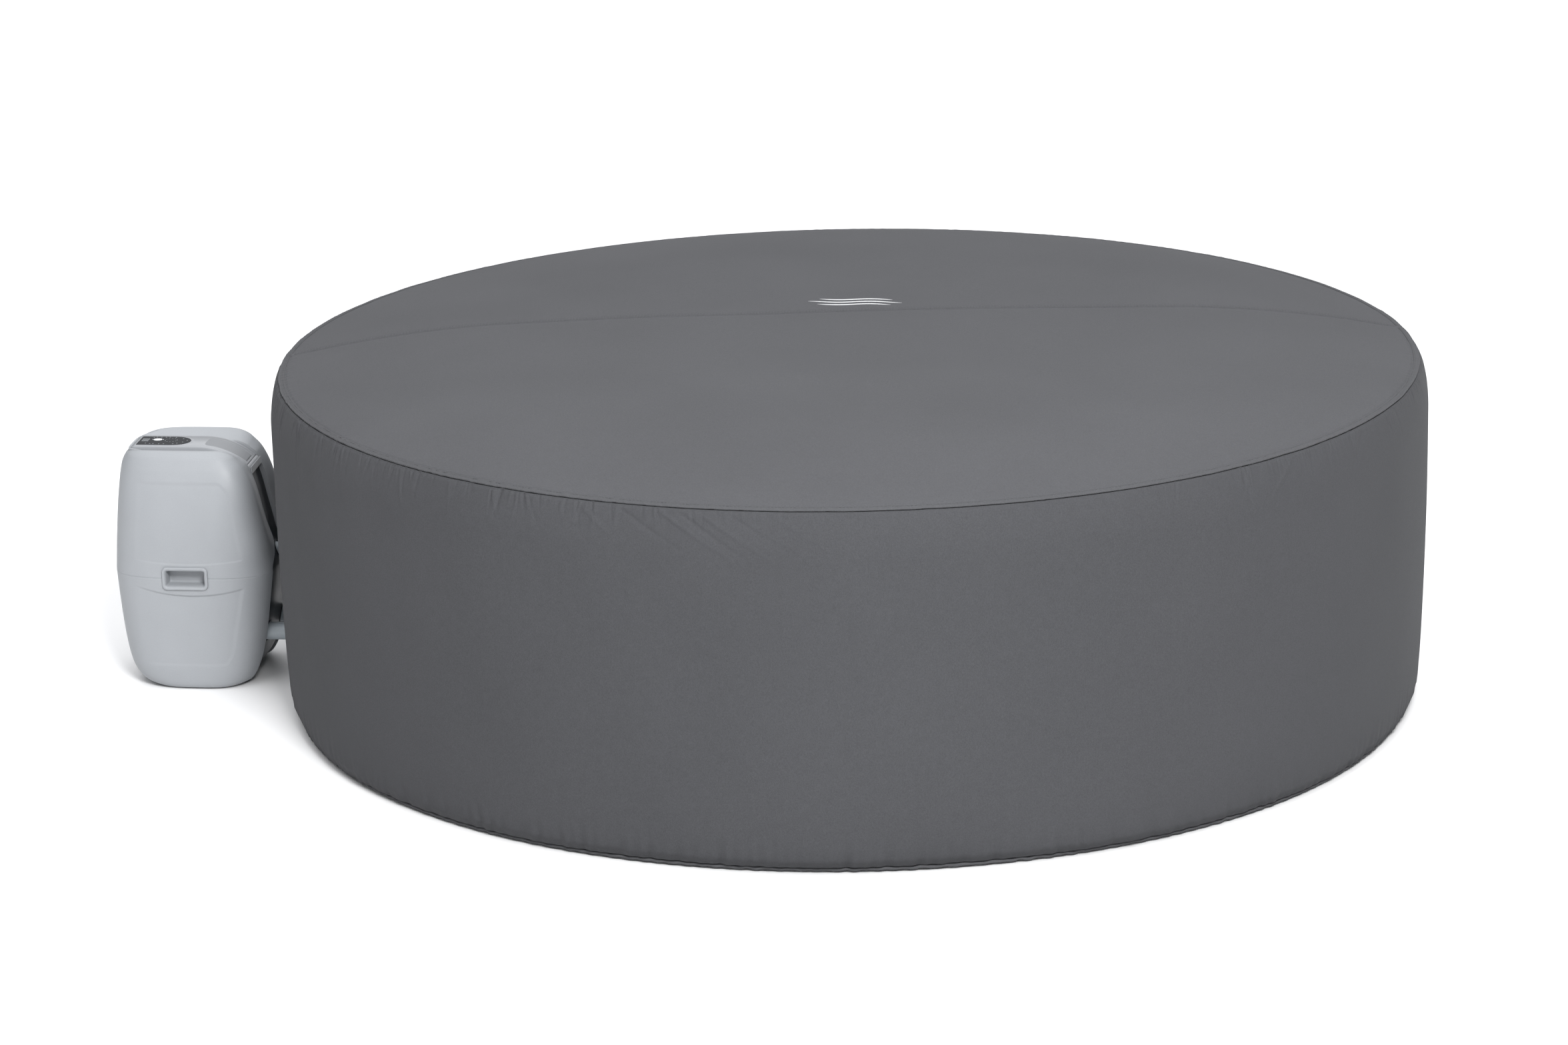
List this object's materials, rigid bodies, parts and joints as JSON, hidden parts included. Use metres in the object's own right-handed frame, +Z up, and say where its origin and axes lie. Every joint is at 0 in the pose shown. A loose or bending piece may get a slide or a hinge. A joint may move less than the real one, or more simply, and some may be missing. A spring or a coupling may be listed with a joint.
{
  "type": "inflatable hot tub",
  "caption": "Round inflatable hot tub under a fitted fabric cover with an inflated lid, and a freestanding pump, heater and blower unit joined to it by screwed pipe unions.",
  "frame": {"origin": "centre of the tub on the ground, at the underside of the ground mat", "axes": "+Z up; the pump unit stands on the -X axis, and -Y is the side with the pump's front grip"},
  "size_m": [2.7702, 2.3996, 0.784],
  "materials": {
    "mat_foam": "matte closed-cell foam",
    "vinyl": "soft laminated vinyl, slight sheen",
    "cover_top_cloth": "fine plain-woven polyester, matte",
    "cover_side_cloth": "fine plain-woven polyester, matte",
    "cover_trim": "folded and top-stitched binding",
    "shell_grey": "fine-grained moulded plastic",
    "arm_grey": "fine-grained moulded plastic",
    "mid_grey": "fine-grained moulded plastic",
    "charcoal": "satin moulded plastic",
    "touch_glass": "dark printed glass, glossy",
    "pipe_grey": "smooth extruded plastic",
    "port_grey": "moulded plastic",
    "nut_dark": "ribbed moulded plastic",
    "steel": "brushed stainless steel",
    "black_rubber": "matte rubber",
    "filter_paper": "pleated filter felt",
    "white_plastic": "moulded nylon",
    "motor_paint": "satin paint on cast housing",
    "inner_plastic": "moulded plastic",
    "board": "solder-masked board with parts"
  },
  "bodies": {
    "tub": {"ground_mat": "mat_foam", "floor_panel": "vinyl", "wall_chamber": "vinyl", "wall_webs": "vinyl", "bubble_ring": "vinyl", "air_duct": "vinyl", "suction_port": "port_grey", "return_port": "port_grey", "air_port": "port_grey", "return_screen": "port_grey", "filter_housing": "vinyl", "inflation_valve": "port_grey", "drain_valve": "port_grey", "front_upper_shell": "shell_grey", "rear_upper_shell": "shell_grey", "front_lower_shell": "shell_grey", "rear_lower_shell": "shell_grey", "spine_panel": "charcoal", "outer_panel": "mid_grey", "arm_tray": "charcoal", "hinge_bar": "arm_grey", "hinge_pin": "steel", "front_grip": "shell_grey", "rear_grip": "shell_grey", "base_plate": "charcoal", "base_screws": "steel", "rubber_feet": "black_rubber", "pump_motor": "motor_paint", "pump_volute": "inner_plastic", "heater_tube": "steel", "flow_sensor": "inner_plastic", "blower_housing": "inner_plastic", "control_board": "board", "inner_hoses": "black_rubber", "suction_pipe": "pipe_grey", "return_pipe": "pipe_grey", "air_pipe": "pipe_grey", "pipe_seals": "black_rubber", "cable_gland": "charcoal"},
    "cover": {"cover_top_front": "cover_top_cloth", "cover_top_rear": "cover_top_cloth", "rim_piping": "cover_trim", "cover_skirt": "cover_side_cloth", "hem_band": "cover_trim", "lid_bladder": "vinyl", "lid_valve": "port_grey"},
    "arm": {"control_arm": "arm_grey", "arm_cover": "mid_grey", "touch_glass": "touch_glass"},
    "filter": {"filter_cartridge": "filter_paper", "filter_cap": "port_grey"},
    "impeller": {"impeller": "white_plastic"},
    "blower_fan": {"blower_fan": "white_plastic"},
    "suction_nut": {"suction_nut": "nut_dark"},
    "return_nut": {"return_nut": "nut_dark"},
    "air_nut": {"air_nut": "nut_dark"},
    "inflation_cap": {"inflation_cap": "nut_dark"},
    "drain_cap": {"drain_cap": "nut_dark"}
  },
  "joints": [
    {"name": "cover_lift", "type": "slide", "parent": "tub", "child": "cover", "axis": [0, 0, 1], "range_m": [0, 0.75]},
    {"name": "arm_tilt", "type": "hinge", "parent": "tub", "child": "arm", "pos_m": [-1.281, 0, 0.459], "axis": [0, 1, 0], "range_deg": [0, 45]},
    {"name": "filter_pull", "type": "slide", "parent": "tub", "child": "filter", "axis": [1, 0, 0], "range_m": [0, 0.16]},
    {"name": "impeller_spin", "type": "hinge", "parent": "tub", "child": "impeller", "pos_m": [-1.385, 0, 0.078], "axis": [1, 0, 0], "continuous": true},
    {"name": "blower_spin", "type": "hinge", "parent": "tub", "child": "blower_fan", "pos_m": [-1.405, 0, 0.345], "axis": [0, 1, 0], "continuous": true},
    {"name": "suction_nut_turn", "type": "hinge", "parent": "tub", "child": "suction_nut", "pos_m": [-1.17, 0.065, 0.108], "axis": [-1, 0, 0], "continuous": true},
    {"name": "return_nut_turn", "type": "hinge", "parent": "tub", "child": "return_nut", "pos_m": [-1.17, -0.065, 0.108], "axis": [-1, 0, 0], "continuous": true},
    {"name": "air_nut_turn", "type": "hinge", "parent": "tub", "child": "air_nut", "pos_m": [-1.17, 0, 0.272], "axis": [-1, 0, 0], "continuous": true},
    {"name": "inflation_cap_turn", "type": "hinge", "parent": "tub", "child": "inflation_cap", "pos_m": [-0.94203, -0.65961, 0.48], "axis": [-0.8192, -0.5736, 0], "continuous": true},
    {"name": "drain_cap_turn", "type": "hinge", "parent": "tub", "child": "drain_cap", "pos_m": [-0.575, -0.99593, 0.062], "axis": [-0.5, -0.866, 0], "continuous": true}
  ]
}
